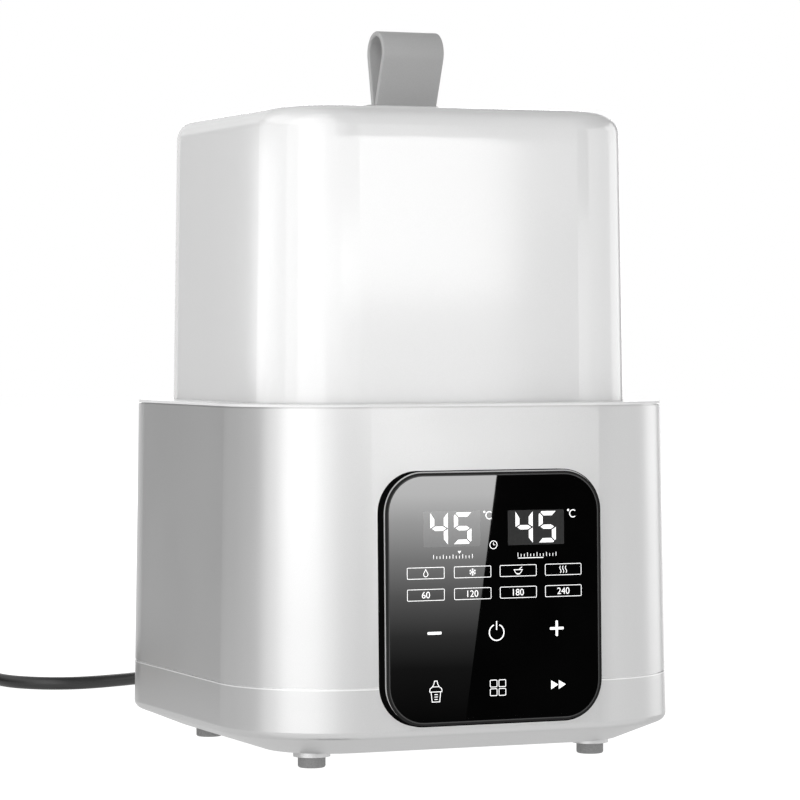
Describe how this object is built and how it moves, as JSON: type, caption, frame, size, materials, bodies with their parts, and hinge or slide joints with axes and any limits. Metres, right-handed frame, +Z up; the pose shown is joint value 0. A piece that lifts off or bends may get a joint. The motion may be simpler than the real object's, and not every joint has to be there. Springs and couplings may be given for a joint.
{
  "type": "baby food warmer",
  "caption": "Square countertop warmer for baby bottles and food: heated water well in a silver base with a touch panel, frosted lift-off cover with a strap, lift-out basket and mains lead.",
  "frame": {"origin": "on the table, under the middle of the base", "axes": "+Z up, the touch panel faces -Y, +X to the right of someone who faces the panel"},
  "size_m": [0.2518, 0.4404, 0.2701],
  "materials": {
    "silver_shell": "moulded plastic with satin silver paint",
    "white_plastic": "satin white moulded plastic",
    "plate_steel": "spun stainless steel",
    "seal_rubber": "matt silicone rubber",
    "screw_steel": "bright zinc plating",
    "heater_steel": "dull heat-tinted tube",
    "sensor_brass": "plain",
    "black_plastic": "satin",
    "bezel_black": "satin gloss black with a polished edge",
    "panel_glass": "black-backed polished glass",
    "circuit_board": "solder resist",
    "display_grey": "matt",
    "transformer_yellow": "matt tape and film",
    "relay_blue": "gloss",
    "terminal_green": "matt",
    "wire_brown": "satin",
    "foot_rubber": "matt",
    "cord_pvc": "satin black sheath",
    "tie_grey": "matt",
    "blade_brass": "nickel-bright plated",
    "frosted_cover": "frosted translucent moulding",
    "strap_silicone": "matt grey silicone",
    "basket_white": "satin white moulded plastic"
  },
  "bodies": {
    "base": {"body_shell": "silver_shell", "bottom_cover": "silver_shell", "tank": "white_plastic", "heating_plate": "plate_steel", "plate_seal": "seal_rubber", "plate_clamp": "plate_steel", "clamp_screws": "screw_steel", "heater_tube": "heater_steel", "temperature_sensor": "sensor_brass", "thermal_cutout": "black_plastic", "panel_bezel": "bezel_black", "panel_glass": "panel_glass", "display_board": "circuit_board", "display_left": "display_grey", "display_right": "display_grey", "touch_pads": "seal_rubber", "buzzer": "black_plastic", "display_screws": "screw_steel", "power_board": "circuit_board", "transformer": "transformer_yellow", "relay": "relay_blue", "filter_capacitor": "transformer_yellow", "terminal_block": "terminal_green", "power_screws": "screw_steel", "display_cable": "display_grey", "mains_wires": "wire_brown", "case_screws": "screw_steel", "foot_front_left": "foot_rubber", "foot_front_right": "foot_rubber", "foot_rear_left": "foot_rubber", "foot_rear_right": "foot_rubber", "cord_grommet": "black_plastic", "strain_relief": "cord_pvc", "cord": "cord_pvc", "cord_coil": "cord_pvc", "cord_tie": "tie_grey", "plug_body": "cord_pvc", "plug_blades": "blade_brass"},
    "cover": {"cover": "frosted_cover", "lift_strap": "strap_silicone"},
    "basket": {"bottle_basket": "basket_white"}
  },
  "joints": [
    {"name": "cover_lift", "type": "slide", "parent": "base", "child": "cover", "axis": [0, 0, 1], "range_m": [0, 0.13]},
    {"name": "basket_lift", "type": "slide", "parent": "base", "child": "basket", "axis": [0, 0, 1], "range_m": [0, 0.09]}
  ]
}
